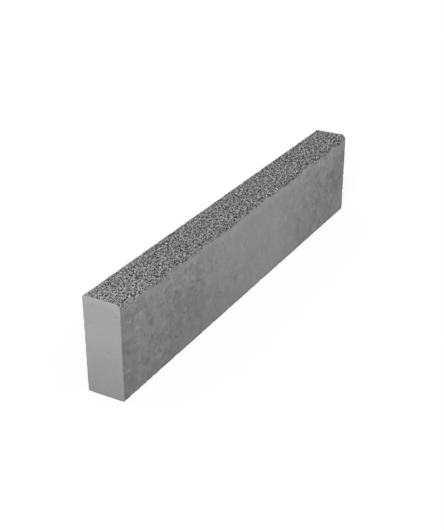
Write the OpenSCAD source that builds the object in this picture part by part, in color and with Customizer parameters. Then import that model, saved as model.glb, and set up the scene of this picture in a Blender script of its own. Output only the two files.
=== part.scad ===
// Concrete kerb stone, cast in one piece: a straight bar with a bevel along its
// front top edge and small rounded arrises along it and around its ends.
// X runs along the kerb line, the front face looks towards -Y, and Z is up.
// The origin is the middle of the bed, the face that the stone stands on.

/* [Bar] */
// Length of the stone along the kerb line
kerb_length = 1000; // [300:10:1200]
// Width of the stone, from its front face to its back face
kerb_width = 80; // [60:1:150]
// Height of the stone, from its bed to its top
kerb_height = 200; // [150:5:300]

/* [Front bevel] */
// How far the bevel reaches back across the top
bevel_run = 8; // [5:1:30]
// How far the bevel reaches down the front face
bevel_drop = 8; // [5:1:60]

/* [Arrises] */
// Radius of the arrises that run along the stone
long_arris = 3; // [1:0.5:5]
// Radius of the arrises around the two ends
end_arris = 2; // [1:0.5:5]

/* [Hidden] */
// Sides of a drawn circle
$fn = 64;

// The front face's place across the stone
front = -kerb_width / 2;

// A rectangle, centred, with a true arc at each corner
module rounded_rectangle(size, radius) {
    straight = size - 2 * [radius, radius];
    square([size[0], straight[1]], center = true);
    square([straight[0], size[1]], center = true);
    for (x = [-1, 1], y = [-1, 1])
        translate([x * straight[0], y * straight[1]] / 2) circle(r = radius);
}

// An upright rectangle that stands on the bed, centred from side to side
module standing_rectangle(breadth, radius) {
    translate([0, kerb_height / 2]) rounded_rectangle([breadth, kerb_height], radius);
}

// What the bevel takes off the cross-section, drawn one bevel past both ends of the cut
module bevel_cut() {
    polygon([
        [front - bevel_run, kerb_height - 2 * bevel_drop],
        [front + 2 * bevel_run, kerb_height + bevel_drop],
        [front - bevel_run, kerb_height + bevel_drop]
    ]);
}

// The cross-section drawn out to the full length, with the bevel and the long arrises
module bar() {
    rotate([90, 0, 90]) linear_extrude(height = kerb_length, center = true)
        difference() {
            standing_rectangle(kerb_width, long_arris);
            bevel_cut();
        }
}

// The long elevation drawn out to the full width, which rounds the level edges of the ends
module elevation_block() {
    rotate([90, 0, 0]) linear_extrude(height = kerb_width, center = true)
        standing_rectangle(kerb_length, end_arris);
}

// The plan drawn up to the full height, which rounds the upright edges of the ends
module plan_block() {
    linear_extrude(height = kerb_height) rounded_rectangle([kerb_length, kerb_width], end_arris);
}

// The whole stone: what the three drawn outlines have in common
module kerb_stone() {
    color("#8c8c8b")
        intersection() {
            bar();
            elevation_block();
            plan_block();
        }
}

kerb_stone();
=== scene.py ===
"""Dresses the concrete kerb stone: smooth pressed sides, and a facing of grit on its top and bevel."""

import logging
import math
from dataclasses import dataclass, field
from enum import Enum
from functools import reduce

import bpy
import numpy as np
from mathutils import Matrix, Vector
from mathutils.geometry import delaunay_2d_cdt


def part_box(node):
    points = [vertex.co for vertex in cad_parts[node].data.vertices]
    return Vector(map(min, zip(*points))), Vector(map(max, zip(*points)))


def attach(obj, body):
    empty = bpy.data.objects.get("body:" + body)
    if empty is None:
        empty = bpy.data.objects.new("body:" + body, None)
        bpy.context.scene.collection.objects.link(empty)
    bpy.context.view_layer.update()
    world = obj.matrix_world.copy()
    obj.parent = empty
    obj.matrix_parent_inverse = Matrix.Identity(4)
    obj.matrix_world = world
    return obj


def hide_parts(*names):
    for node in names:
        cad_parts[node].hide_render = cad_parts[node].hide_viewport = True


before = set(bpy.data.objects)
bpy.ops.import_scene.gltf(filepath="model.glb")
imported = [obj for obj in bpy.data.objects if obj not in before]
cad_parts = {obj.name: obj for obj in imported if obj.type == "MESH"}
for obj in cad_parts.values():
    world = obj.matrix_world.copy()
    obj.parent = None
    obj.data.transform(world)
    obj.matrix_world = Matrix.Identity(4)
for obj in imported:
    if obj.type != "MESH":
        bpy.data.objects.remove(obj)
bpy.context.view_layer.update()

log = logging.getLogger("kerb")
MM = 0.001
DIAGONAL = math.sqrt(0.5)
WHITE = (1.0, 1.0, 1.0, 1.0)
# How far the grit stays inside the stone's planes, and two distances that count as none
CLEAR = 0.02 * MM
TOUCH = 1e-7
HAIR = 1e-9
# The names of the part in model.glb, of the cast piece, and of the body that the pieces are tied to
NODE = "kerb_stone"
CAST = "kerb_stone_cast"
BODY = "root"

# Short names for types
Array = np.ndarray
Random = np.random.Generator
Span = tuple[float, float]
Triple = tuple[float, float, float]
Tree = bpy.types.NodeTree
Socket = bpy.types.NodeSocket
Inputs = dict[str | int, object]


class Side(Enum):
    """The sides that the section runs along, in the order in which it is walked."""

    BED = 0
    BACK = 1
    TOP = 2
    FRONT = 3


class Finish(Enum):
    """The finishes of the cast body, by their place in its material slots."""

    PRESSED = 0
    WASHED = 1


def fade(t: Array) -> Array:
    """Eases a share from 0 to 1, flat at both ends, and holds it there outside them."""
    t = np.clip(t, 0.0, 1.0)
    return t * t * (3.0 - 2.0 * t)


def drift(rng: Random, u: Array, v: Array, cell: float) -> Array:
    """Makes a soft random field over a grid.

    Args:
        rng: The source of its random lattice.
        u: Places along the first direction, in rising order.
        v: Places along the second direction, in rising order.
        cell: The lattice's spacing.

    Returns:
        One value from 0 to 1 for each pair of places.
    """
    gu = (u - u[0]) / cell
    gv = (v - v[0]) / cell
    lattice = rng.random((int(gu[-1]) + 2, int(gv[-1]) + 2))
    iu = gu.astype(int)
    iv = gv.astype(int)
    fu = fade(gu - iu)[:, None]
    fv = fade(gv - iv)[None, :]
    low = lattice[np.ix_(iu, iv)] * (1 - fu) + lattice[np.ix_(iu + 1, iv)] * fu
    high = lattice[np.ix_(iu, iv + 1)] * (1 - fu) + lattice[np.ix_(iu + 1, iv + 1)] * fu
    return low * (1 - fv) + high * fv


def waver(rng: Random, u: Array, cell: float) -> Array:
    """Makes a soft random line, as drift does a field, with one value from 0 to 1 for each place."""
    return drift(rng, u, np.array([0.0]), cell)[:, 0]


def arris_plane(reach: float, radius: float) -> float:
    """Tells how far out the slanting flat lies that touches a rounded arris between two sides."""
    return DIAGONAL * reach - radius * (math.sqrt(2) - 1)


def link(piece: bpy.types.Object) -> bpy.types.Object:
    """Puts an object into the scene and hands it back."""
    bpy.context.scene.collection.objects.link(piece)
    return piece


def keep(mesh: bpy.types.Mesh, name: str, values: Array) -> None:
    """Keeps one value for each point of a mesh as a named attribute."""
    layer = mesh.attributes.new(name, "FLOAT", "POINT")
    layer.data.foreach_set("value", np.ascontiguousarray(values, dtype=np.float32).ravel())


def fetch(items: bpy.types.bpy_prop_collection, name: str, kind: type, wide: int = 1) -> Array:
    """Reads one property of every item of a collection.

    Args:
        items: The collection.
        name: The property.
        kind: The type of its numbers.
        wide: How many numbers each item has.

    Returns:
        The numbers, one item after the other.
    """
    values = np.empty(len(items) * wide, dtype=kind)
    items.foreach_get(name, values)
    return values


def lay_map(mesh: bpy.types.Mesh, uv: Array) -> None:
    """Keeps a place on the map for each corner of a mesh's faces."""
    layer = mesh.uv_layers.new(name="OFBake")
    layer.uv.foreach_set("vector", uv.astype(np.float32).ravel())


@dataclass
class SectionRows:
    """The points round the section from which the body is lofted."""

    place: Array
    normal: Array
    run: Array
    side: Array
    room: Array
    girth: float


@dataclass
class KerbSection:
    """The stone's cross-section: an upright bar with rounded long arrises and a bevelled front edge."""

    width: float
    height: float
    bevel_run: float = 8 * MM
    bevel_drop: float = 8 * MM
    arris: float = 3 * MM
    arris_steps: int = 5
    arris_room: float = 0.85
    step: float = 1.4 * MM
    ease: float = 4 * MM

    def _straight(self, start: Span, end: Span) -> Array:
        """Places points along a straight run.

        Args:
            start: Its first point, which is kept.
            end: Its last point, which the next run gives.

        Returns:
            The points, one row each.
        """
        a = np.array(start)
        b = np.array(end)
        count = max(1, round(np.linalg.norm(b - a) / self.step))
        return a + (b - a) * np.arange(count)[:, None] / count

    def _arc(self, centre: Span, first: float) -> Array:
        """Places points along an arris, a quarter turn from an angle in degrees, without the last one."""
        angle = np.radians(first + 90.0 * np.arange(self.arris_steps) / self.arris_steps)
        return np.array(centre) + self.arris * np.stack([np.cos(angle), np.sin(angle)], axis=1)

    def rows(self) -> SectionRows:
        """Walks the section from the bed, up the back, over the top and down the front.

        Returns:
            Its points, outward normals, distance walked, sides and room for relief.
        """
        half = self.width / 2
        top = self.height
        r = self.arris
        foot = top - self.bevel_drop
        runs = [
            (Side.BED, self._straight((r - half, 0), (half - r, 0)), False),
            (Side.BED, self._arc((half - r, r), -90), True),
            (Side.BACK, self._straight((half, r), (half, top - r)), False),
            (Side.TOP, self._arc((half - r, top - r), 0), True),
            (Side.TOP, self._straight((half - r, top), (self.bevel_run - half, top)), False),
            (Side.TOP, self._straight((self.bevel_run - half, top), (-half, foot)), False),
            (Side.FRONT, self._straight((-half, foot), (-half, r)), False),
            (Side.FRONT, self._arc((r - half, r), 180), True),
        ]
        counts = [len(points) for _, points, _ in runs]
        place = np.concatenate([points for _, points, _ in runs])
        side = np.repeat([kind.value for kind, _, _ in runs], counts)
        room = np.repeat([self.arris_room * r if curved else self.height for _, _, curved in runs], counts)
        length = np.linalg.norm(np.roll(place, -1, axis=0) - place, axis=1)
        run = np.concatenate([[0.0], np.cumsum(length)[:-1]])
        girth = float(length.sum())
        joint = run[np.cumsum([0] + counts[:-1])]
        turn = math.degrees(math.atan2(self.bevel_drop, self.bevel_run))
        ease = np.array([-self.ease, self.ease])
        knots = np.concatenate([joint[:5], joint[5] + ease, joint[6] + ease, joint[7:], [girth]])
        angles = [-90, -90, 0, 0, 90, 90, 90 + turn, 90 + turn, 180, 180, 270]
        angle = np.radians(np.interp(run, knots, angles))
        normal = np.stack([np.cos(angle), np.sin(angle)], axis=1)
        return SectionRows(place, normal, run, side, room, girth)

    def planes(self) -> list[Triple]:
        """Lists the flats that the grit may not stand out of.

        Returns:
            A direction in Y and Z and a distance for each.
        """
        half = self.width / 2
        slope = math.hypot(self.bevel_drop, self.bevel_run)
        bevel = (-self.bevel_drop / slope, self.bevel_run / slope)
        foot = bevel[0] * -half + bevel[1] * (self.height - self.bevel_drop)
        back = arris_plane(half + self.height, self.arris)
        return [(0, 1, self.height), (1, 0, half), (-1, 0, half), (*bevel, foot), (DIAGONAL, DIAGONAL, back)]


@dataclass
class FacingBorder:
    """The wavy lines inside which the grit shows: on the back arris, below the bevel and along both ends.

    The lines' offsets and waves, whose names end in mm, are in millimetres, and all else is in metres.
    """

    back: float
    front: float
    girth: float
    low: float
    high: float
    smear: float = 7 * MM
    smear_reach: float = 14 * MM
    spacing: float = 1 * MM
    past_ends: float = 10 * MM
    front_cells: Span = (32 * MM, 6 * MM)
    front_mm: Triple = (-3.5, 7.5, 7.0)
    back_cell: float = 17 * MM
    back_mm: Span = (-1.0, 2.5)
    end_cell: float = 7 * MM
    end_mm: Span = (0.4, 3.0)
    seed: int = 23
    along: Array = field(init=False)
    round: Array = field(init=False)
    back_line: Array = field(init=False)
    front_line: Array = field(init=False)
    low_line: Array = field(init=False)
    high_line: Array = field(init=False)

    def __post_init__(self) -> None:
        """Draws the lines: cement is smeared over the bevel at the low end."""
        rng = np.random.default_rng(self.seed)
        self.along = np.arange(self.low - self.past_ends, self.high + self.past_ends, self.spacing)
        self.round = np.arange(0.0, self.girth, self.spacing)
        wave, ripple = [waver(rng, self.along, cell) for cell in self.front_cells]
        base, rise, fine = self.front_mm
        smeared = self.smear * (1 - fade((self.along - self.low) / self.smear_reach))
        self.front_line = self.front + (base + rise * wave + fine * ripple) * MM - smeared
        base, rise = self.back_mm
        self.back_line = self.back + (base + rise * waver(rng, self.along, self.back_cell)) * MM
        base, rise = self.end_mm
        self.low_line = self.low + (base + rise * waver(rng, self.round, self.end_cell)) * MM
        self.high_line = self.high - (base + rise * waver(rng, self.round, self.end_cell)) * MM

    def inside(self, x: Array, run: Array) -> Array:
        """Measures how far places lie inside the facing.

        Args:
            x: Places along the stone.
            run: Their distances round the section, or others that broadcast with x.

        Returns:
            The distances, negative outside.
        """
        below = run - np.interp(x, self.along, self.back_line)
        above = np.interp(x, self.along, self.front_line) - run
        past = x - np.interp(run, self.round, self.low_line)
        short = np.interp(run, self.round, self.high_line) - x
        return np.minimum(np.minimum(below, above), np.minimum(past, short))


@dataclass
class GritChips:
    """Many angular chips of crushed stone, bedded in the facing as one joined mesh."""

    name: str
    pitch: float
    jitter: float
    radius: Span
    sunk: Span
    sides: int
    seed: int
    pale: float = 0.54
    missing: float = 0.12
    corner_turn: float = 0.3
    corner_reach: Span = (0.76, 1.14)
    stretch: float = 0.30
    crown: Span = (0.48, 0.86)
    sunk_bias: float = 1.4
    lean: float = 0.30
    rough: float = 0.09
    shoulder: Span = (0.25, 0.70)
    root: float = 1.5
    root_more: float = 0.6 * MM
    spread: float = 0.075
    light_share: float = 0.06
    light_gain: Span = (0.20, 0.46)
    dark_share: float = 0.18
    dark_loss: Span = (0.33, 0.58)
    mixed: float = 11 * MM
    evenness: float = 0.8
    contrast: Span = (0.78, 1.52)
    tilt: Span = (0.04, -0.06)
    covered: float = 0.6
    covered_reach: float = 4 * MM
    dry_end: float = 0.10
    dry_reach: float = 180 * MM
    # How much darker the chips are along the back arris, and how far in that reaches
    darker_back: float = 0.06
    darker_back_reach: float = 9 * MM
    piece: bpy.types.Object | None = field(default=None, init=False)

    def _sites(self, rng: Random, border: FacingBorder) -> Array:
        """Scatters the chips' centres on a loosened hexagonal lattice inside the border.

        Args:
            rng: The source of their places.
            border: The lines between which the grit shows.

        Returns:
            Their places along the stone and round the section, one row each.
        """
        rise = self.pitch * math.sqrt(3) / 2
        lines = np.arange(border.back_line.min(), border.front_line.max(), rise)
        places = np.arange(border.low, border.high, self.pitch)
        u, v = np.meshgrid(places, lines)
        u = u + (np.arange(len(lines)) % 2)[:, None] * self.pitch / 2
        sites = np.stack([u.ravel(), v.ravel()], axis=1)
        sites += rng.uniform(-self.jitter, self.jitter, sites.shape)
        kept = (rng.random(len(sites)) > self.missing) & (border.inside(sites[:, 0], sites[:, 1]) > 0)
        return sites[kept]

    def _ring(self, rng: Random, radius: Array) -> tuple[Array, Array]:
        """Draws the uneven outline of each chip.

        Args:
            rng: The source of the outlines.
            radius: The chips' mean radii.

        Returns:
            The outlines' coordinates round the section and along the stone, one row for each chip.
        """
        shape = (len(radius), self.sides)
        angle = np.arange(self.sides) * 2 * math.pi / self.sides
        angle = angle + rng.uniform(-self.corner_turn, self.corner_turn, shape)
        reach = radius[:, None] * rng.uniform(*self.corner_reach, shape)
        longer = 1 + rng.uniform(0, self.stretch, (len(radius), 1))
        p = reach * np.cos(angle) * longer
        q = reach * np.sin(angle) / longer
        turn = rng.uniform(0, 2 * math.pi, (len(radius), 1))
        return p * np.cos(turn) - q * np.sin(turn), p * np.sin(turn) + q * np.cos(turn)

    def build(
        self, section: KerbSection, border: FacingBorder, half_length: float, end_arris: float
    ) -> bpy.types.Object:
        """Shapes all chips, sets them in the facing and joins them.

        Args:
            section: The stone's cross-section.
            border: The lines between which the grit shows.
            half_length: Half the stone's length.
            end_arris: The radius of the arrises round its ends.

        Returns:
            The piece, without its finish.
        """
        rng = np.random.default_rng(self.seed)
        sites = self._sites(rng, border)
        total = len(sites)
        radius = rng.uniform(*self.radius, total)
        low_a, low_b = self._ring(rng, radius)
        share = rng.uniform(*self.crown, low_a.shape)
        top_a = low_a * share
        top_b = low_b * share
        crest = -(self.sunk[0] + (self.sunk[1] - self.sunk[0]) * rng.random(total) ** self.sunk_bias)
        lean = rng.uniform(-self.lean, self.lean, (2, total, 1))
        rough = rng.uniform(-self.rough, self.rough, low_a.shape) * radius[:, None]
        top_h = crest[:, None] + lean[0] * top_a + lean[1] * top_b + rough
        fall = radius[:, None] * rng.uniform(*self.shoulder, low_a.shape)
        low_h = crest[:, None] + lean[0] * low_a + lean[1] * low_b - fall
        tip_h = crest - self.root * radius - self.root_more
        zero = np.zeros((total, 1))
        a = np.concatenate([top_a, low_a, zero], axis=1)
        b = np.concatenate([top_b, low_b, zero], axis=1)
        h = np.minimum(np.concatenate([top_h, low_h, tip_h[:, None]], axis=1), -CLEAR)
        points = self._set(sites, (a, b, h), section.rows())
        points = self._press(points, section, half_length, end_arris)
        mesh = bpy.data.meshes.new(self.name)
        mesh.from_pydata(points.reshape(-1, 3).tolist(), [], self._faces(total))
        keep(mesh, "tone", np.repeat(self._tones(rng, sites, border), 2 * self.sides + 1))
        self._map(mesh, total)
        self.piece = link(bpy.data.objects.new(self.name, mesh))
        return self.piece

    def _tones(self, rng: Random, sites: Array, border: FacingBorder) -> Array:
        """Chooses how pale each chip is: mostly middling, some light or dark, and darker along the back.

        Args:
            rng: The source of the choice.
            sites: The chips' places along the stone and round the section.
            border: The lines inside which the grit shows.

        Returns:
            One value from 0, darkest, to 1 for each chip.
        """
        total = len(sites)
        x, run = sites.T
        ends = (border.low, border.high)
        pale = rng.normal(self.pale, self.spread, total)
        kind = rng.random(total)
        pale += np.where(kind < self.light_share, rng.uniform(*self.light_gain, total), 0.0)
        pale -= np.where(kind > 1 - self.dark_share, rng.uniform(*self.dark_loss, total), 0.0)
        pale = self._mix(pale, sites)
        pale = self.pale + (pale - self.pale) * np.interp(x, ends, self.contrast)
        pale += np.interp(x, ends, self.tilt)
        covered = self.covered * (1 - fade(border.inside(x, run) / self.covered_reach))
        pale += covered * (self.pale - pale)
        pale += self.dry_end * (1 - fade((x - border.low) / self.dry_reach))
        pale -= self.darker_back * (1 - fade((run - border.back) / self.darker_back_reach))
        return np.clip(pale, 0, 1)

    def _mix(self, pale: Array, sites: Array) -> Array:
        """Mixes the chips well, so that no neighbourhood is much paler or darker than the whole.

        Args:
            pale: How pale each chip is.
            sites: The chips' places along the stone and round the section.

        Returns:
            The same, with most of what each neighbourhood differs by taken back.
        """
        for offset in (0.0, 0.5):
            cell = np.floor(sites / self.mixed + offset).astype(int)
            cell -= cell.min(axis=0)
            number = cell[:, 0] * (cell[:, 1].max() + 1) + cell[:, 1]
            mean = np.bincount(number, pale) / np.maximum(np.bincount(number), 1)
            pale = pale - self.evenness * (mean[number] - pale.mean())
        return pale

    def _set(self, sites: Array, own: tuple[Array, Array, Array], rows: SectionRows) -> Array:
        """Moves the chips from their own axes to their places on the stone.

        Args:
            sites: The chips' places along the stone and round the section.
            own: Their points' coordinates round the section, along the stone and outwards.
            rows: The rows round the section.

        Returns:
            The points, by chip, point and axis.
        """
        a, b, h = own
        columns = np.concatenate([rows.place, rows.normal], axis=1).T
        y, z, ny, nz = [np.interp(sites[:, 1], rows.run, column)[:, None] for column in columns]
        return np.stack([sites[:, :1] + b, y - nz * a + ny * h, z + ny * a + nz * h], axis=2)

    def _press(self, points: Array, section: KerbSection, half_length: float, end_arris: float) -> Array:
        """Presses back what stands out of the stone's own planes, as the mould does.

        Args:
            points: The chips' points.
            section: The stone's cross-section.
            half_length: Half the stone's length.
            end_arris: The radius of the arrises round its ends.

        Returns:
            The points, all inside the stone's outline.
        """
        for ny, nz, far in section.planes():
            over = np.maximum(points[..., 1] * ny + points[..., 2] * nz - far + CLEAR, 0)
            points[..., 1] -= over * ny
            points[..., 2] -= over * nz
        edge = arris_plane(half_length + section.height, end_arris)
        over = np.maximum(DIAGONAL * (np.abs(points[..., 0]) + points[..., 2]) - edge, 0) * DIAGONAL
        points[..., 0] -= over * np.sign(points[..., 0])
        points[..., 2] -= over
        points[..., 0] = np.clip(points[..., 0], CLEAR - half_length, half_length - CLEAR)
        return points

    def _faces(self, total: int) -> list[list[int]]:
        """Lists every chip's faces: its top, its shoulders and its buried point.

        Args:
            total: How many chips there are.

        Returns:
            The faces, as point numbers.
        """
        n = self.sides
        k = np.arange(n)
        after = (k + 1) % n
        first = (np.arange(total) * (2 * n + 1))[:, None, None]
        tops = first + k[None, None, :]
        shoulders = first + np.stack([k, n + k, n + after, after], axis=1)[None]
        tips = first + np.stack([n + k, np.full(n, 2 * n), n + after], axis=1)[None]
        parts = (tops.reshape(-1, n), shoulders.reshape(-1, 4), tips.reshape(-1, 3))
        return [face for part in parts for face in part.tolist()]

    def _map(self, mesh: bpy.types.Mesh, total: int) -> None:
        """Gives each chip its own cell of the map, spread out flat from its top, with its root in a corner.

        Args:
            mesh: The joined chips.
            total: How many chips there are.
        """
        n = self.sides
        top_reach, low_reach = (0.26, 0.46)
        root_place, root_reach = (0.06, 0.04)
        cells = math.ceil(math.sqrt(total))
        number = np.arange(total)
        corner = np.stack([number % cells, number // cells], axis=1)[:, None, :]
        angle = np.arange(n) * 2 * math.pi / n
        compass = np.stack([np.cos(angle), np.sin(angle)], axis=1)
        top = 0.5 + top_reach * compass
        low = 0.5 + low_reach * compass
        after = (np.arange(n) + 1) % n
        side = np.stack([top, low, low[after], top[after]], axis=1).reshape(-1, 2)
        small = root_place + root_reach * compass
        middle = np.full((n, 2), root_place)
        tip = np.stack([small, middle, small[after]], axis=1).reshape(-1, 2)
        uv = np.concatenate([(corner + part[None]).reshape(-1, 2) for part in (top, side, tip)])
        lay_map(mesh, uv / cells)

    def dress(self, stone: bpy.types.Material) -> None:
        """Puts the finish on and ties the piece to the frame.

        Args:
            stone: The finish of the chips.
        """
        self.piece.data.materials.append(stone)
        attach(self.piece, BODY)


@dataclass(frozen=True)
class BlowHoles:
    """Small round hollows that air left: their number, least and added radius in millimetres, and depth."""

    count: int
    radius_mm: Span
    bias: float
    deep: float

    def radius(self, rng: Random) -> float:
        """Draws one radius, more often a small one than a large one."""
        return (self.radius_mm[0] + self.radius_mm[1] * rng.random() ** self.bias) * MM


@dataclass(frozen=True)
class Knocks:
    """Small knocks on an arris: their number, and their half lengths and depths in millimetres."""

    count: int
    along_mm: Span
    round_mm: Span
    deep_mm: Span

    def size(self, rng: Random) -> Span:
        """Draws one knock's half lengths along the stone and round the section."""
        return rng.uniform(*self.along_mm) * MM, rng.uniform(*self.round_mm) * MM

    def deep(self, rng: Random) -> float:
        """Draws one knock's depth."""
        return rng.uniform(*self.deep_mm) * MM


@dataclass
class CastBody:
    """The cast stone itself: one closed mesh, lofted along its length, with a bed for the grit."""

    section: KerbSection
    border: FacingBorder
    low: Vector
    high: Vector
    end_arris: float = 2 * MM
    end_angles: tuple[float, ...] = (0.0, 30.0, 60.0)
    end_step: float = 1.5
    end_jitter: float = 0.2
    bed_depth: float = 2.3 * MM
    bed_cell: float = 5 * MM
    bed_waves: Span = (0.85, 0.3)
    bed_slope: float = 2.4 * MM
    mask_start: float = 0.3 * MM
    mask_reach: float = 0.9 * MM
    far_off: float = 60 * MM
    swells: tuple[Span, ...] = ((0.20 * MM, 60 * MM), (0.08 * MM, 14 * MM))
    side_holes: BlowHoles = BlowHoles(80, (0.9, 1.6), 2.5, 0.6)
    side_hole_shape: Span = (0.8, 1.2)
    end_holes: BlowHoles = BlowHoles(14, (1.6, 1.2), 2.0, 0.5)
    end_hole_across: Span = (-0.8, 0.8)
    end_hole_up: Span = (0.06, 0.9)
    foot_knocks: Knocks = Knocks(36, (2.0, 7.0), (2.0, 4.0), (0.2, 0.7))
    end_knocks: Knocks = Knocks(28, (1.5, 3.5), (2.5, 8.0), (0.2, 0.8))
    triangles: int = 192_000
    sharp: float = 26.0
    evening: int = 80
    seed: int = 7
    piece: bpy.types.Object | None = field(default=None, init=False)

    def _stations(self) -> tuple[Array, Array]:
        """Lists the rings along the stone, from one end face's edge to the other's.

        Returns:
            Each ring's place along X and its inset from the section.
        """
        r = self.end_arris
        turn = np.radians(self.end_angles)
        start = self.low.x + r
        stop = self.high.x - r
        body = np.linspace(start, stop, round((stop - start) / self.section.step) + 1)
        left = start - r * np.cos(turn)
        inset = r * (1 - np.sin(turn))
        x = np.concatenate([left, body, (self.low.x + self.high.x) - left[::-1]])
        return x, np.concatenate([inset, np.zeros(len(body)), inset[::-1]])

    def _dent(self, grid: tuple[Array, Array], middle: Span, size: Span, deep: float, depth: Array) -> None:
        """Presses one rounded hollow into the surface, in place.

        Args:
            grid: The stations along the stone, and the distance round the section of each row.
            middle: The hollow's place in those two directions.
            size: Its half lengths in them.
            deep: Its depth.
            depth: The depth of each point, which is added to.
        """
        x, run = grid
        i0, i1 = np.searchsorted(x, [middle[0] - size[0], middle[0] + size[0] + HAIR])
        j0, j1 = np.searchsorted(run, [middle[1] - size[1], middle[1] + size[1]])
        du = ((x[i0:i1] - middle[0]) / size[0])[:, None]
        dv = ((run[j0:j1] - middle[1]) / size[1])[None, :]
        depth[i0:i1, j0:j1] += deep * np.sqrt(np.clip(1 - du * du - dv * dv, 0, 1))

    def _wear(self, rng: Random, x: Array, rows: SectionRows) -> Array:
        """Gives the pressed sides their faint unevenness, blow holes and knocked arrises.

        Args:
            rng: The source of their places and sizes.
            x: The stations along the stone.
            rows: The rows round the section.

        Returns:
            The depth of each station and row.
        """
        grid = (x, rows.run)
        depth = sum(rise * drift(rng, x, rows.run, cell) for rise, cell in self.swells)
        for side in (Side.BACK, Side.FRONT):
            span = rows.run[rows.side == side.value]
            for _ in range(self.side_holes.count):
                middle = (rng.uniform(x[0], x[-1]), rng.uniform(span[0], span[-1]))
                radius = self.side_holes.radius(rng)
                size = (radius, radius * rng.uniform(*self.side_hole_shape))
                self._dent(grid, middle, size, self.side_holes.deep * radius, depth)
        half = self.section.width / 2
        for towards in (-half, half):
            near = np.linalg.norm(rows.place - np.array([towards, 0.0]), axis=1)
            arris = rows.run[np.argmin(near)]
            for _ in range(self.foot_knocks.count):
                size = self.foot_knocks.size(rng)
                middle = (rng.uniform(x[0], x[-1]), arris)
                self._dent(grid, middle, size, self.foot_knocks.deep(rng), depth)
        for end in (x[0], x[-1]):
            for _ in range(self.end_knocks.count):
                size = self.end_knocks.size(rng)
                middle = (end, rng.uniform(0, rows.girth))
                self._dent(grid, middle, size, self.end_knocks.deep(rng), depth)
        return depth

    def _bed(self, rng: Random, x: Array, run: Array, inside: Array) -> Array:
        """Sinks the washed cement between the chips, by a depth for each station and row."""
        waves = self.bed_waves[0] + self.bed_waves[1] * drift(rng, x, run, self.bed_cell)
        return self.bed_depth * waves * fade(inside / self.bed_slope)

    def build(self) -> bpy.types.Object:
        """Lofts the stone, thins its mesh and makes the piece.

        Returns:
            The piece, without its finishes.
        """
        rng = np.random.default_rng(self.seed)
        rows = self.section.rows()
        x, inset = self._stations()
        count = len(rows.run)
        inside = self.border.inside(x[:, None], rows.run[None, :])
        mask = fade((inside + self.mask_start) / self.mask_reach)
        depth = self._bed(rng, x, rows.run, inside) + self._wear(rng, x, rows) * (1 - mask)
        move = np.minimum(inset[:, None] + depth, rows.room[None, :])
        y = rows.place[None, :, 0] - rows.normal[None, :, 0] * move
        z = rows.place[None, :, 1] - rows.normal[None, :, 1] * move
        place = np.stack([np.repeat(x[:, None], count, axis=1), y, z], axis=2)
        ends = [self._end(rng, place[0], 1), self._end(rng, place[-1], -1)]
        points = np.concatenate([place.reshape(-1, 3)] + [inner for inner, _ in ends])
        lofted = (len(x) - 1) * count
        faces = self._loft(len(x), count).tolist()
        start = len(x) * count
        for (inner, triangles), ring in zip(ends, (0, lofted)):
            faces += np.where(triangles < count, triangles + ring, triangles - count + start).tolist()
            start += len(inner)
        mesh = bpy.data.meshes.new(CAST)
        mesh.from_pydata(points.tolist(), [], faces)
        spare = len(points) - len(x) * count
        edge = np.repeat((inset == inset.max())[:, None], count, axis=1)
        walked = np.repeat(rows.run[None, :], len(x), axis=0)
        facing = np.maximum(inside, -self.far_off)
        keep(mesh, "run", np.append(walked.ravel(), np.zeros(spare)))
        keep(mesh, "cap", np.append(edge.ravel(), np.ones(spare)))
        keep(mesh, "facing", np.append(facing.ravel(), np.full(spare, -self.far_off)))
        self._zone(mesh, np.append(mask.ravel(), np.zeros(spare)), lofted)
        self.piece = link(bpy.data.objects.new(CAST, mesh))
        self._thin()
        self._unroll(rows.girth)
        return self.piece

    def _end(self, rng: Random, ring: Array, inward: int) -> tuple[Array, Array]:
        """Fills one end face with an even mesh that has a few small blow holes.

        Args:
            rng: The source of the holes' places and sizes.
            ring: The edge of the end face.
            inward: Which way along X the stone lies, 1 or -1.

        Returns:
            The points inside the edge, and triangles that number the edge's points before them.
        """
        half = self.section.width / 2
        step = self.end_step * self.section.step
        margin = self.end_arris + self.section.bevel_drop
        y, z = np.meshgrid(
            np.arange(-half + margin / 2, half - margin / 2, step),
            np.arange(margin / 2, self.section.height - margin, step),
        )
        loose = rng.uniform(-self.end_jitter, self.end_jitter, (y.size, 2)) * step
        inner = np.stack([y.ravel(), z.ravel()], axis=1) + loose
        flat = np.concatenate([ring[:, 1:], inner])
        loop = list(range(len(ring)))
        result = delaunay_2d_cdt([Vector(point) for point in flat.tolist()], [], [loop], 1, TOUCH)
        source = [origin[0] for origin in result[3]]
        triangles = np.array([[source[corner] for corner in face] for face in result[2]])
        depth = np.zeros(len(inner))
        for _ in range(self.end_holes.count):
            across = rng.uniform(*self.end_hole_across) * half
            middle = np.array([across, rng.uniform(*self.end_hole_up) * self.section.height])
            radius = self.end_holes.radius(rng)
            away = np.linalg.norm(inner - middle, axis=1) / radius
            depth += self.end_holes.deep * radius * np.sqrt(np.clip(1 - away * away, 0, 1))
        deep = ring[0, 0] + inward * depth
        return np.column_stack([deep, inner]), triangles if inward < 0 else triangles[:, ::-1]

    def _loft(self, stations: int, count: int) -> Array:
        """Numbers the faces between the rings.

        Args:
            stations: How many rings there are.
            count: How many points each ring has.

        Returns:
            The faces, as four point numbers each.
        """
        i = np.arange(stations - 1)[:, None] * count
        j = np.arange(count)[None, :]
        k = (j + 1) % count
        return np.stack([i + j, i + k, i + count + k, i + count + j], axis=2).reshape(-1, 4)

    def _corners(self, mesh: bpy.types.Mesh) -> tuple[Array, Array, Array]:
        """Reads a mesh's corners, and where each face's corners start and how many it has."""
        start, total = [fetch(mesh.polygons, name, np.int32) for name in ("loop_start", "loop_total")]
        return fetch(mesh.loops, "vertex_index", np.int32), start, total

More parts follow.
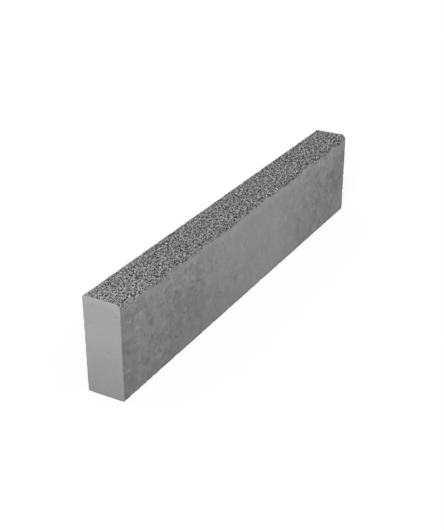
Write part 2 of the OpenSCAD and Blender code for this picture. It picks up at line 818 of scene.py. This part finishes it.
    def _zone(self, mesh: bpy.types.Mesh, mask: Array, lofted: int) -> None:
        """Gives each face the finish that most of its points call for, and the end faces the pressed one.

        Args:
            mesh: The lofted mesh.
            mask: How far each point belongs to the facing, from 0 to 1.
            lofted: How many faces there are before those of the ends.
        """
        corner, start, total = self._corners(mesh)
        share = np.add.reduceat(mask[corner], start) / total
        share[lofted:] = 0.0
        index = np.where(share > 0.5, Finish.WASHED.value, Finish.PRESSED.value)
        for _ in Finish:
            mesh.materials.append(None)
        mesh.polygons.foreach_set("material_index", index.astype(np.int32))

    def _thin(self) -> None:
        """Collapses the mesh where it is flat, down to the triangles it may have, and evens its shading."""
        mesh = self.piece.data
        mesh.calc_loop_triangles()
        mesh.polygons.foreach_set("use_smooth", np.ones(len(mesh.polygons), dtype=bool))
        thin = self.piece.modifiers.new("thin", "DECIMATE")
        thin.ratio = min(1.0, self.triangles / len(mesh.loop_triangles))
        self._apply().set_sharp_from_angle(angle=math.radians(self.sharp))
        even = self.piece.modifiers.new("even", "WEIGHTED_NORMAL")
        even.keep_sharp = True
        even.weight = self.evening
        self._apply()

    def _apply(self) -> bpy.types.Mesh:
        """Replaces the piece's mesh by what its modifiers make of it.

        Returns:
            The new mesh.
        """
        graph = bpy.context.evaluated_depsgraph_get()
        result = bpy.data.meshes.new_from_object(
            self.piece.evaluated_get(graph), preserve_all_data_layers=True, depsgraph=graph
        )
        before = self.piece.data
        self.piece.modifiers.clear()
        self.piece.data = result
        bpy.data.meshes.remove(before)
        result.name = CAST
        return result

    def _values(self, name: str) -> Array:
        """Reads a point attribute back from the piece."""
        return fetch(self.piece.data.attributes[name].data, "value", np.float32)

    def _unroll(self, girth: float) -> None:
        """Maps the stone as one sheet unrolled from its bed, with the end faces laid above it.

        Args:
            girth: The distance round the section.
        """
        mesh = self.piece.data
        margin, sheet_wide, sheet_high = (0.01, 0.98, 0.84)
        far_cap, cap_long, cap_middle, cap_wide = (0.51, 0.46, 0.935, 0.11)
        corner, start, total = self._corners(mesh)
        place = fetch(mesh.vertices, "co", np.float32, 3).reshape(-1, 3)[corner]
        run = self._values("run")[corner]
        cap = np.minimum.reduceat(self._values("cap")[corner], start) > 0.5
        wraps = np.maximum.reduceat(run, start) - np.minimum.reduceat(run, start) > girth / 2
        cap = np.repeat(cap, total)
        run = np.where(np.repeat(wraps, total) & (run < girth / 2), run + girth, run)
        sheet_u = margin + sheet_wide * (place[:, 0] - self.low.x) / (self.high.x - self.low.x)
        sheet_v = margin + sheet_high * run / girth
        cap_u = np.where(place[:, 0] < 0, margin, far_cap) + cap_long * place[:, 2] / self.section.height
        cap_v = cap_middle + cap_wide * place[:, 1] / self.section.width
        lay_map(mesh, np.stack([np.where(cap, cap_u, sheet_u), np.where(cap, cap_v, sheet_v)], axis=1))

    def dress(self, pressed: bpy.types.Material, washed: bpy.types.Material) -> None:
        """Puts the finishes on and ties the piece to the frame.

        Args:
            pressed: The finish of the smooth sides.
            washed: The finish of the cement round the chips, painted dark as shade in the gaps.
        """
        self.piece.data.materials[Finish.PRESSED.value] = pressed
        self.piece.data.materials[Finish.WASHED.value] = washed
        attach(self.piece, BODY)
        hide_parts(NODE)


class NodeSheet:
    """A node tree, with short ways to add the nodes that the effects and finishes are made of."""

    def __init__(self, tree: Tree) -> None:
        """Takes the tree of a material, a world or a group."""
        self.tree = tree

    def add(self, kind: str, inputs: Inputs | None = None, **settings: object) -> bpy.types.Node:
        """Adds one node, sets it and joins its inputs.

        Args:
            kind: The node's type.
            inputs: A value or another node's output for each named or numbered input.
            settings: Properties of the node itself.

        Returns:
            The node.
        """
        node = self.tree.nodes.new(kind)
        for name, value in settings.items():
            setattr(node, name, value)
        for name, value in (inputs or {}).items():
            if isinstance(value, Socket):
                self.tree.links.new(value, node.inputs[name])
            else:
                node.inputs[name].default_value = value
        return node

    def wire(self, source: Socket, target: Socket) -> None:
        """Joins an output to an input."""
        self.tree.links.new(source, target)

    def work(self, kind: str, *values: object) -> Socket:
        """Works out one number from others, by one of the math node's operations."""
        return self.add("ShaderNodeMath", dict(enumerate(values)), operation=kind).outputs[0]

    def plus(self, one: object, two: object) -> Socket:
        """Adds two numbers."""
        return self.work("ADD", one, two)

    def minus(self, one: object, two: object) -> Socket:
        """Takes the second number from the first."""
        return self.work("SUBTRACT", one, two)

    def times(self, one: object, two: object) -> Socket:
        """Multiplies two numbers."""
        return self.work("MULTIPLY", one, two)

    def scaled(self, value: Socket, factor: object, start: object) -> Socket:
        """Multiplies a number by a factor and adds another to it."""
        return self.work("MULTIPLY_ADD", value, factor, start)

    def product(self, shades: list[Socket]) -> Socket:
        """Multiplies several shades together."""
        return reduce(self.times, shades)

    def ranged(self, value: Socket, span: Span, start: float, stop: float) -> Socket:
        """Eases a number from one range to another, which starts and stops as given."""
        inputs = {"Value": value, "From Min": span[0], "From Max": span[1], "To Min": start, "To Max": stop}
        return self.add("ShaderNodeMapRange", inputs, interpolation_type="SMOOTHSTEP").outputs["Result"]

    def noise(self, spot: Socket, scale: object, detail: float = 2.0, **more: float) -> Socket:
        """Adds a soft noise round a half, with more of the node's inputs by their names."""
        inputs = {"Vector": spot, "Scale": scale, "Detail": detail} | more
        return self.add("ShaderNodeTexNoise", inputs).outputs["Fac"]

    def swing(self, spot: Socket, scale: object, detail: float = 2.0, **more: float) -> Socket:
        """Adds the same noise, but round 0."""
        return self.minus(self.noise(spot, scale, detail, **more), 0.5)

    def axes(self, spot: Socket) -> bpy.types.NodeOutputs:
        """Splits a place into its X, Y and Z."""
        return self.add("ShaderNodeSeparateXYZ", {"Vector": spot}).outputs

    def grey(self, colour: Socket) -> Socket:
        """Takes one number from a random colour."""
        return self.add("ShaderNodeSeparateColor", {"Color": colour}).outputs["Red"]

    def attribute(self, name: str) -> Socket:
        """Reads a named attribute of the mesh."""
        return self.add("ShaderNodeAttribute", attribute_name=name).outputs["Fac"]


class ConcreteEffects:
    """The effects that the finishes share, each one node group that is built once."""

    def __init__(self) -> None:
        """Builds the groups."""
        self.mottle = self._mottle()
        self.sand = self._sand()
        self.damp_and_floor_shade = self._damp_and_floor_shade()

    def _group(
        self, name: str, inputs: dict[str, float], outputs: list[str]
    ) -> tuple[NodeSheet, bpy.types.NodeOutputs, bpy.types.NodeInputs]:
        """Starts a node group that is given a place and some numbers, and makes numbers of them.

        Args:
            name: Its name.
            inputs: The default of each number that it is given.
            outputs: The names of the numbers that it makes.

        Returns:
            Its sheet, what it is given and what it makes.
        """
        tree = bpy.data.node_groups.new(name, "ShaderNodeTree")
        tree.interface.new_socket("Vector", in_out="INPUT", socket_type="NodeSocketVector")
        for label, default in inputs.items():
            socket = tree.interface.new_socket(label, in_out="INPUT", socket_type="NodeSocketFloat")
            socket.default_value = default
        for label in outputs:
            tree.interface.new_socket(label, in_out="OUTPUT", socket_type="NodeSocketFloat")
        sheet = NodeSheet(tree)
        return sheet, sheet.add("NodeGroupInput").outputs, sheet.add("NodeGroupOutput").inputs

    def _mottle(self) -> Tree:
        """Makes the cloudy unevenness of cured cement, as a shade round 1.

        Returns:
            The group.
        """
        inputs = {"Cloud Scale": 7.0, "Blotch Scale": 45.0, "Clouds": 0.1, "Blotches": 0.1}
        sheet, given, made = self._group("cement_mottle", inputs, ["Shade"])
        clouds = sheet.swing(given["Vector"], given["Cloud Scale"], 3.0)
        blotches = sheet.swing(given["Vector"], given["Blotch Scale"], 4.0, Roughness=0.6, Distortion=0.5)
        clouds = sheet.times(clouds, given["Clouds"])
        blotches = sheet.times(blotches, given["Blotches"])
        sheet.wire(sheet.plus(sheet.plus(clouds, blotches), 1.0), made["Shade"])
        return sheet.tree

    def _sand(self) -> Tree:
        """Makes the fine sand in the cement: a height for the bump, a grey for each grain, and pin holes.

        Returns:
            The group.
        """
        pit_scale = 0.45
        pit_size = (0.10, 0.24)
        pit_share = (0.50, 0.60)
        sheet, given, made = self._group("sand_grain", {"Scale": 900.0}, ["Height", "Grain", "Pits"])
        spot = given["Vector"]
        fine = sheet.noise(spot, given["Scale"], Roughness=0.6)
        grains = sheet.add("ShaderNodeTexVoronoi", {"Vector": spot, "Scale": given["Scale"]}).outputs
        dome = sheet.minus(1.0, grains["Distance"])
        height = sheet.scaled(dome, 0.5, sheet.times(fine, 0.5))
        wide = sheet.times(given["Scale"], pit_scale)
        cells = sheet.add("ShaderNodeTexVoronoi", {"Vector": spot, "Scale": wide}).outputs
        hollow = sheet.ranged(cells["Distance"], pit_size, 1.0, 0.0)
        pits = sheet.times(hollow, sheet.ranged(sheet.grey(cells["Color"]), pit_share, 0.0, 1.0))
        sheet.wire(sheet.minus(height, pits), made["Height"])
        sheet.wire(sheet.grey(grains["Color"]), made["Grain"])
        sheet.wire(pits, made["Pits"])
        return sheet.tree

    def _damp_and_floor_shade(self) -> Tree:
        """Makes the darkening towards the bed, partly damp that the stone holds and partly painted shade
        from the floor, as a shade of at most 1.

        Returns:
            The group.
        """
        wander_scale = 9.0
        wander_reach = 60 * MM
        sheet, given, made = self._group("foot_damp_and_floor_shade", {"Reach": 0.12, "Strength": 0.14}, ["Shade"])
        wander = sheet.swing(given["Vector"], wander_scale, 3.0)
        height = sheet.scaled(wander, wander_reach, sheet.axes(given["Vector"])["Z"])
        share = sheet.minus(1.0, sheet.work("DIVIDE", height, given["Reach"]))
        share = sheet.add("ShaderNodeClamp", {"Value": share}).outputs["Result"]
        sheet.wire(sheet.minus(1.0, sheet.times(share, given["Strength"])), made["Shade"])
        return sheet.tree


class FinishSheet(NodeSheet):
    """The node sheet of one finish, with the shared effects at hand and its shader to join them to."""

    def __init__(self, name: str, effects: ConcreteEffects) -> None:
        """Starts the material.

        Args:
            name: Its name.
            effects: The shared node groups.
        """
        self.material = bpy.data.materials.new(name)
        self.material.use_nodes = True
        super().__init__(self.material.node_tree)
        self.effects = effects
        self.shader = self.tree.nodes["Principled BSDF"].inputs
        self.coords = self.add("ShaderNodeTexCoord").outputs["Object"]

    def mapped(self, **changes: Triple) -> Socket:
        """Moves or stretches the coordinates, by the mapping node's inputs of those names."""
        return self.add("ShaderNodeMapping", {"Vector": self.coords} | changes).outputs["Vector"]

    def use(self, group: Tree, inputs: Inputs) -> bpy.types.NodeOutputs:
        """Places one of the groups, with the values that this finish gives it."""
        return self.add("ShaderNodeGroup", {"Vector": self.coords} | inputs, node_tree=group).outputs

    def mottle(self, scales: Span, clouds: object, blotches: object) -> Socket:
        """Places the mottle, with the scales and strengths of its clouds and blotches."""
        names = ("Cloud Scale", "Blotch Scale", "Clouds", "Blotches")
        return self.use(self.effects.mottle, dict(zip(names, (*scales, clouds, blotches))))["Shade"]

    def damp_and_floor_shade(self, strength: object) -> Socket:
        """Places the darkening towards the bed, by damp and by painted shade from the floor, with its
        strength.
        """
        return self.use(self.effects.damp_and_floor_shade, {"Strength": strength})["Shade"]

    def sand(self, scale: float) -> bpy.types.NodeOutputs:
        """Places the sand, with its scale."""
        return self.use(self.effects.sand, {"Scale": scale})


@dataclass(frozen=True)
class ConcreteFinish:
    """What the finishes have in common: how rough and shiny they are, and how their sand shows."""

    roughness: float
    rough_from: Span
    rough_swing: Span
    specular: float
    bump: Span
    sand_scale: float
    grain: Span

    def join(
        self,
        sheet: FinishSheet,
        colour: Triple | Socket,
        shades: list[Socket],
        rough: Socket,
        sand: bpy.types.NodeOutputs,
    ) -> bpy.types.Material:
        """Joins the colour, the roughness and the sand's bump to the shader.

        Args:
            sheet: The finish's sheet.
            colour: Its colour, before the shades and the sand's grain.
            shades: What the colour is multiplied by.
            rough: What the roughness follows.
            sand: What the sand makes.

        Returns:
            The material.
        """
        shade = sheet.product([*shades, sheet.ranged(sand["Grain"], (0.0, 1.0), *self.grain)])
        tinted = sheet.add("ShaderNodeVectorMath", {0: colour, "Scale": shade}, operation="SCALE")
        ends = [self.roughness + swing for swing in self.rough_swing]
        inputs = {"Height": sand["Height"], "Strength": self.bump[0], "Distance": self.bump[1]}
        bump = sheet.add("ShaderNodeBump", inputs)
        sheet.wire(tinted.outputs["Vector"], sheet.shader["Base Color"])
        sheet.wire(sheet.ranged(rough, self.rough_from, *ends), sheet.shader["Roughness"])
        sheet.wire(bump.outputs["Normal"], sheet.shader["Normal"])
        sheet.shader["Specular IOR Level"].default_value = self.specular
        return sheet.material


@dataclass(frozen=True)
class Patch:
    """One soft mark on the front: a stain that darkens it, or a bloom that makes it paler."""

    x: float
    z: float
    reach: float
    gain: float


@dataclass(frozen=True)
class Zones:
    """Where a place lies on the pressed stone, as numbers in its material."""

    z: Socket
    off_middle: Socket
    off_end: Socket
    worn: Socket


@dataclass(frozen=True)
class PressedFinish(ConcreteFinish):
    """Concrete that set against the mould: close grey cement with clouds, runs, specks, and arrises darkened
    by dirt and by painted shade.

    A strength with several numbers adds them up, each in the places that the comment above it names in turn.
    """

    roughness: float = 0.86
    rough_from: Span = (0.8, 1.2)
    rough_swing: Span = (-0.06, 0.06)
    specular: float = 0.28
    bump: Span = (0.4, 0.3 * MM)
    sand_scale: float = 620.0
    grain: Span = (0.96, 1.04)
    colour: Triple = (0.270, 0.270, 0.269)
    end_edge: Span = (2.4 * MM, 1.0 * MM)
    clean_from: Span = (-0.32, -0.02)
    clean_until: Span = (0.10, 0.36)
    mottle_scales: Span = (16.0, 62.0)
    # Long sides, everywhere. The second darkens towards the bed, by damp and by painted shade from the
    # floor; the third is painted shade in the pin holes
    clouds: Span = (0.26, 0.06)
    damp_and_floor_shade: Span = (-0.12, 0.25)
    pits: Span = (-0.20, -0.06)
    # Worn places, long sides, everywhere
    blotches: Triple = (0.76, 0.14, 0.10)
    # Worn places, long sides
    specks: Span = (0.75, 0.32)
    # Ranges, scales and single strengths
    speck_edge: Span = (0.56, 0.70)
    speck_gain: float = 0.26
    speck_layers: tuple[tuple[Triple, float], ...] = (((0.0, 0.0, 0.0), 80.0), ((3.1, 1.7, 2.3), 95.0))
    runs: tuple[tuple[Triple, float], ...] = (((48.0, 48.0, 3.5), 0.18), ((170.0, 170.0, 40.0), 0.14))
    dry_gain: float = 0.105
    worn_loss: float = 0.21
    worn_high: float = 0.55
    worn_heights: Span = (0.10, 0.18)
    # Pale band below the facing: painted highlight where the bevel meets the front
    painted_highlight_band: float = 0.10
    pale_edge: Span = (-24 * MM, -8 * MM)
    pale_scale: float = 40.0
    pale_wander: float = 14 * MM
    fringe: float = 0.10
    fringe_edge: Span = (-3.0 * MM, -0.5 * MM)
    dirt_and_shade_scale: float = 60.0
    # Darker lower arrises: dirt, and painted shade where they turn down to the floor
    foot_dirt_and_shade: float = 0.26
    foot_edge: Span = (2.0 * MM, 6.5 * MM)
    foot_wander: float = 6 * MM
    # Darker upright arrises at the ends: dirt, and painted shade where they turn from the light
    end_dirt_and_shade: float = 0.16
    end_reach: Span = (8 * MM, 3 * MM)
    end_wander: float = -8 * MM
    front: float = -40 * MM
    patch_core: float = 0.2
    fray: float = 1.4
    fray_scale: float = 85.0
    patches: tuple[Patch, ...] = (
        Patch(-0.29, 0.07, 0.12, -0.06),
        Patch(-0.42, 0.10, 0.06, 0.06),
        Patch(-0.50, 0.17, 0.06, -0.06),
        Patch(-0.49, 0.02, 0.05, -0.05),
        Patch(0.47, 0.12, 0.08, -0.14),
        Patch(0.47, 0.02, 0.05, 0.16),
        Patch(0.31, 0.02, 0.08, 0.07),
        Patch(0.20, 0.012, 0.011, 0.22),
        Patch(-0.27, 0.011, 0.010, 0.16),
        Patch(-0.10, 0.075, 0.016, -0.11),
        Patch(-0.08, 0.060, 0.014, -0.13),
        Patch(-0.06, 0.054, 0.010, 0.12),
        Patch(-0.04, 0.120, 0.013, -0.11),
        Patch(0.23, 0.038, 0.014, -0.13),
        Patch(0.25, 0.060, 0.014, 0.10),
        Patch(0.29, 0.088, 0.018, 0.10),
        Patch(0.30, 0.024, 0.014, -0.15),
        Patch(0.32, 0.012, 0.010, 0.16),
        Patch(0.36, 0.134, 0.022, 0.09),
    )

    def material(self, effects: ConcreteEffects, half_length: float) -> bpy.types.Material:
        """Makes the finish.

        Args:
            effects: The shared node groups.
            half_length: Half the stone's length.

        Returns:
            The material.
        """
        sheet = FinishSheet("pressed_concrete", effects)
        zones = self._zones(sheet, half_length)
        clouds = sheet.scaled(zones.off_end, *self.clouds)
        blotches = sheet.scaled(zones.off_end, *self.blotches[1:])
        blotches = sheet.scaled(zones.worn, self.blotches[0], blotches)
        mottle = sheet.mottle(self.mottle_scales, clouds, blotches)
        sand = sheet.sand(self.sand_scale)
        ragged = sheet.swing(sheet.coords, self.fray_scale)
        shades = [
            self._cure(sheet, zones),
            mottle,
            # Darker towards the bed: damp, and painted shade from the floor
            sheet.damp_and_floor_shade(sheet.scaled(zones.off_end, *self.damp_and_floor_shade)),
            self._runs(sheet, zones),
            self._specks(sheet, zones),
            self._border(sheet),
            # Darker arrises: dirt, and painted shade
            self._dirt_and_edge_shade(sheet, zones, half_length),
            # Painted shade in the pin holes
            sheet.scaled(sand["Pits"], sheet.scaled(zones.off_end, *self.pits), 1.0),
        ]
        shades += [self._patch(sheet, zones, ragged, patch) for patch in self.patches]
        return self.join(sheet, self.colour, shades, mottle, sand)

    def _zones(self, sheet: FinishSheet, half_length: float) -> Zones:
        """Tells the long sides from the end faces, and worn places from the clean middle.

        Args:
            sheet: The finish's sheet.
            half_length: Half the stone's length.

        Returns:
            The zones: off_end is 1 on the long sides and 0 on the end faces.
        """
        axes = sheet.axes(sheet.coords)
        off_middle = sheet.work("ABSOLUTE", axes["X"])
        edge = (half_length - self.end_edge[0], half_length - self.end_edge[1])
        off_end = sheet.ranged(off_middle, edge, 1.0, 0.0)
        rise = sheet.ranged(axes["X"], self.clean_from, 0.0, 1.0)
        drop = sheet.ranged(axes["X"], self.clean_until, 1.0, 0.0)
        worn = sheet.times(sheet.minus(1.0, sheet.times(rise, drop)), off_end)
        return Zones(axes["Z"], off_middle, off_end, worn)

    def _cure(self, sheet: FinishSheet, zones: Zones) -> Socket:
        """Makes the long sides paler where they dried first, and darker where worn, mostly lower down.

        Args:
            sheet: The finish's sheet.
            zones: Where a place lies.

        Returns:
            The shade.
        """
        lower = sheet.ranged(zones.z, self.worn_heights, 1.0, self.worn_high)
        loss = sheet.times(sheet.times(zones.worn, lower), self.worn_loss)
        return sheet.minus(sheet.scaled(zones.off_end, self.dry_gain, 1.0), loss)

    def _runs(self, sheet: FinishSheet, zones: Zones) -> Socket:
        """Makes the upright runs that water left, in wide and narrow ones.

        Args:
            sheet: The finish's sheet.
            zones: Where a place lies.

        Returns:
            The shade.
        """
        shade = 1.0
        for scale, depth in self.runs:
            run = sheet.times(sheet.swing(sheet.mapped(Scale=scale), 1.0), sheet.times(zones.worn, depth))
            shade = sheet.plus(run, shade)
        return shade

    def _specks(self, sheet: FinishSheet, zones: Zones) -> Socket:
        """Scatters uneven pale flecks of lime and dark spots over the long sides.

        Args:
            sheet: The finish's sheet.
            zones: Where a place lies.

        Returns:
            The shade.
        """
        marks = []
        for start, scale in self.speck_layers:
            noise = sheet.noise(sheet.mapped(Location=start), scale, 3.0, Roughness=0.5, Distortion=0.5)
            marks.append(sheet.ranged(noise, self.speck_edge, 0.0, self.speck_gain))
        worn, side = self.specks
        amount = sheet.scaled(zones.worn, worn, sheet.times(zones.off_end, side))
        return sheet.scaled(sheet.minus(*marks), amount, 1.0)

    def _border(self, sheet: FinishSheet) -> Socket:
        """Lays a pale band below the facing, a painted highlight where the bevel meets the front, and a
        darker fringe next to its grit.

        Args:
            sheet: The finish's sheet.

        Returns:
            The shade.
        """
        facing = sheet.attribute("facing")
        level = sheet.scaled(sheet.swing(sheet.coords, self.pale_scale), self.pale_wander, facing)
        band = sheet.ranged(level, self.pale_edge, 1.0, 1.0 + self.painted_highlight_band)
        return sheet.times(band, sheet.ranged(facing, self.fringe_edge, 1.0, 1.0 - self.fringe))

    def _dirt_and_edge_shade(self, sheet: FinishSheet, zones: Zones, half_length: float) -> Socket:
        """Darkens the lower arrises and the upright ones at the ends, by dirt and by painted shade where
        they turn away from the light.

        Args:
            sheet: The finish's sheet.
            zones: Where a place lies.
            half_length: Half the stone's length.

        Returns:
            The shade.
        """
        wander = sheet.swing(sheet.coords, self.dirt_and_shade_scale)
        height = sheet.scaled(wander, self.foot_wander, zones.z)
        foot = sheet.ranged(height, self.foot_edge, self.foot_dirt_and_shade, 0.0)
        along = sheet.scaled(wander, self.end_wander, zones.off_middle)
        edge = (half_length - self.end_reach[0], half_length - self.end_reach[1])
        ends = sheet.ranged(along, edge, 0.0, self.end_dirt_and_shade)
        return sheet.minus(1.0, sheet.times(sheet.work("MAXIMUM", foot, ends), zones.off_end))

    def _patch(self, sheet: FinishSheet, zones: Zones, ragged: Socket, patch: Patch) -> Socket:
        """Lays one soft mark with a ragged outline on the front.

        Args:
            sheet: The finish's sheet.
            zones: Where a place lies.
            ragged: A soft unevenness round 0 that frays the outline.
            patch: The mark's place, size and strength.

        Returns:
            The shade.
        """
        ends = {0: sheet.coords, 1: (patch.x, self.front, patch.z)}
        away = sheet.add("ShaderNodeVectorMath", ends, operation="DISTANCE").outputs["Value"]
        away = sheet.scaled(ragged, self.fray * patch.reach, away)
        mark = sheet.ranged(away, (self.patch_core * patch.reach, patch.reach), patch.gain, 0.0)
        return sheet.scaled(mark, zones.off_end, 1.0)


@dataclass(frozen=True)
class WashedFinish(ConcreteFinish):
    """The cement that was washed back between the chips: dark, painted darker than the cement is as shade in
    the gaps, sandy and rough, and paler at the border.
    """

    roughness: float = 0.94
    rough_from: Span = (0.7, 1.3)
    rough_swing: Span = (-0.05, 0.05)
    specular: float = 0.20
    bump: Span = (0.7, 0.6 * MM)
    sand_scale: float = 780.0
    grain: Span = (0.7, 1.4)
    # Darker than the cement itself: painted shade in the gaps between the chips
    colour: Triple = (0.045, 0.045, 0.045)
    mottle_scales: Span = (11.0, 260.0)
    clouds: float = 0.04
    blotches: float = 0.5
    # Darker towards the bed: damp, and painted shade from the floor
    damp_and_floor_shade: float = 0.13
    paler: float = 3.2
    paler_reach: float = 2.6 * MM

    def material(self, effects: ConcreteEffects) -> bpy.types.Material:
        """Makes the finish.

        Args:
            effects: The shared node groups.

        Returns:
            The material.
        """
        sheet = FinishSheet("washed_cement_and_gap_shade", effects)
        mottle = sheet.mottle(self.mottle_scales, self.clouds, self.blotches)
        edge = sheet.ranged(sheet.attribute("facing"), (0.0, self.paler_reach), 1.0 + self.paler, 1.0)
        # The second shade darkens towards the bed: damp, and painted shade from the floor
        shades = [mottle, sheet.damp_and_floor_shade(self.damp_and_floor_shade), edge]
        return self.join(sheet, self.colour, shades, mottle, sheet.sand(self.sand_scale))


@dataclass(frozen=True)
class GritFinish(ConcreteFinish):
    """Crushed stone: each chip one grey, from nearly black to nearly white, with its own fine crystals."""

    roughness: float = 0.78
    rough_from: Span = (0.0, 1.0)
    rough_swing: Span = (0.08, -0.12)
    specular: float = 0.35
    bump: Span = (0.5, 0.3 * MM)
    sand_scale: float = 1300.0
    grain: Span = (0.88, 1.12)
    tones: tuple[Span, ...] = ((0.0, 0.025), (0.25, 0.085), (0.5, 0.22), (0.75, 0.33), (1.0, 0.50))
    mottle_scales: Span = (11.0, 420.0)
    clouds: float = 0.04
    blotches: float = 0.5

    def material(self, effects: ConcreteEffects) -> bpy.types.Material:
        """Makes the finish.

        Args:
            effects: The shared node groups.

        Returns:
            The material.
        """
        sheet = FinishSheet("crushed_stone", effects)
        tone = sheet.attribute("tone")
        ramp = sheet.add("ShaderNodeValToRGB", {"Fac": tone})
        elements = ramp.color_ramp.elements
        while len(elements) < len(self.tones):
            elements.new(0.5)
        for element, (where, grey) in zip(elements, self.tones):
            element.position = where
            element.color = (grey, grey, grey, 1.0)
        shades = [sheet.mottle(self.mottle_scales, self.clouds, self.blotches)]
        return self.join(sheet, ramp.outputs["Color"], shades, tone, sheet.sand(self.sand_scale))


@dataclass
class Studio:
    """The pale floor, the soft light and the camera."""

    floor_size: float = 16.0
    floor_grey: float = 0.30
    floor_white: float = 0.9
    glow_share: float = 0.85
    sky: float = 0.60
    sun: float = 3.35
    sun_spread: float = 36.0
    sun_from: Triple = (-0.8575, -0.3175, 0.55)
    sun_away: float = 3.0
    eye: Triple = (-1.7427, -0.9297, 1.0455)
    heading: float = 28.985
    tilt: float = -26.80
    lens: float = 68.72
    sensor: float = 36.0

    def build(self) -> None:
        """Sets up everything round the stone."""
        self._floor()
        self._lamp()
        self._world()
        self._camera()
        bpy.context.scene.view_settings.view_transform = "Standard"

    def _seen(self, sheet: NodeSheet) -> Socket:
        """Tells the rays that see the background from those that light the stone.

        Args:
            sheet: The sheet of the floor or the world.

        Returns:
            1 for rays that see it and 0 for the others.
        """
        rays = sheet.add("ShaderNodeLightPath").outputs
        straight = sheet.work("MAXIMUM", rays["Is Camera Ray"], rays["Is Glossy Ray"])
        return sheet.work("MAXIMUM", straight, rays["Is Transmission Ray"])

    def _mixed(self, sheet: NodeSheet, share: object, one: Socket, two: Socket) -> Socket:
        """Mixes two shaders by the share of the second."""
        return sheet.add("ShaderNodeMixShader", {0: share, 1: one, 2: two}).outputs["Shader"]

    def _floor(self) -> None:
        """Lays the floor, which looks white but keeps the stone's shadow."""
        reach = self.floor_size / 2
        corners = [(-reach, -reach, 0), (reach, -reach, 0), (reach, reach, 0), (-reach, reach, 0)]
        mesh = bpy.data.meshes.new("floor")
        mesh.from_pydata(corners, [], [(0, 1, 2, 3)])
        floor = link(bpy.data.objects.new("floor", mesh))
        made = bpy.data.materials.new("pale_floor")
        made.use_nodes = True
        made.node_tree.nodes.clear()
        sheet = NodeSheet(made.node_tree)
        plain, white = [
            sheet.add("ShaderNodeBsdfDiffuse", {"Color": (grey, grey, grey, 1.0)}).outputs["BSDF"]
            for grey in (self.floor_grey, self.floor_white)
        ]
        glow = sheet.add("ShaderNodeEmission", {"Strength": 1.0}).outputs["Emission"]
        pale = self._mixed(sheet, self.glow_share, white, glow)
        both = self._mixed(sheet, self._seen(sheet), plain, pale)
        sheet.add("ShaderNodeOutputMaterial", {"Surface": both})
        mesh.materials.append(made)

    def _lamp(self) -> None:
        """Hangs the one wide, soft lamp."""
        data = bpy.data.lights.new("window_light", "SUN")
        data.energy = self.sun
        data.angle = math.radians(self.sun_spread)
        lamp = link(bpy.data.objects.new("window_light", data))
        lamp.rotation_mode = "QUATERNION"
        lamp.rotation_quaternion = Vector(self.sun_from).to_track_quat("Z", "Y")
        lamp.location = Vector(self.sun_from) * self.sun_away

    def _world(self) -> None:
        """Fills the room with even light, and shows white where nothing else is seen."""
        world = bpy.data.worlds.new("room")
        bpy.context.scene.world = world
        world.use_nodes = True
        world.node_tree.nodes.clear()
        sheet = NodeSheet(world.node_tree)
        light, white = [
            sheet.add("ShaderNodeBackground", {"Color": WHITE, "Strength": strength}).outputs["Background"]
            for strength in (self.sky, 1.0)
        ]
        sheet.add("ShaderNodeOutputWorld", {"Surface": self._mixed(sheet, self._seen(sheet), light, white)})

    def _camera(self) -> None:
        """Stands the camera where the photograph was taken from."""
        data = bpy.data.cameras.new("camera")
        data.lens = self.lens
        data.sensor_width = self.sensor
        camera = bpy.data.objects.new("camera", data)
        heading = math.radians(self.heading)
        tilt = math.radians(self.tilt)
        level = math.cos(tilt)
        ahead = Vector((level * math.cos(heading), level * math.sin(heading), math.sin(tilt)))
        camera.location = self.eye
        camera.rotation_mode = "QUATERNION"
        camera.rotation_quaternion = ahead.to_track_quat("-Z", "Y")
        bpy.context.scene.camera = link(camera)


def report(piece: bpy.types.Object) -> None:
    """Logs a piece's name and how many triangles it has."""
    piece.data.calc_loop_triangles()
    log.info("%s: %d triangles", piece.name, len(piece.data.loop_triangles))


def main() -> None:
    """Builds the stone and the studio."""
    logging.basicConfig(level=logging.INFO, format="%(name)s: %(message)s")
    low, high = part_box(NODE)
    section = KerbSection(width=high.y - low.y, height=high.z - low.z)
    rows = section.rows()
    top = np.flatnonzero(rows.side == Side.TOP.value)
    border = FacingBorder(rows.run[top[0]], rows.run[top[-1]] + section.step, rows.girth, low.x, high.x)
    body = CastBody(section, border, low, high)
    chips = GritChips(
        name="grit_chips",
        pitch=4.4 * MM,
        jitter=1.3 * MM,
        radius=(1.35 * MM, 2.6 * MM),
        sunk=(0.1 * MM, 1.4 * MM),
        sides=6,
        seed=41,
    )
    fines = GritChips(
        name="grit_fines",
        pitch=3.0 * MM,
        jitter=1.5 * MM,
        radius=(0.6 * MM, 1.0 * MM),
        sunk=(0.8 * MM, 2.0 * MM),
        sides=4,
        seed=42,
        pale=0.46,
    )
    effects = ConcreteEffects()
    stone = GritFinish().material(effects)
    report(body.build())
    body.dress(PressedFinish().material(effects, high.x), WashedFinish().material(effects))
    for grit in (chips, fines):
        report(grit.build(section, border, high.x, body.end_arris))
        grit.dress(stone)
    Studio().build()
    bpy.context.view_layer.update()


if __name__ == "__main__":
    main()
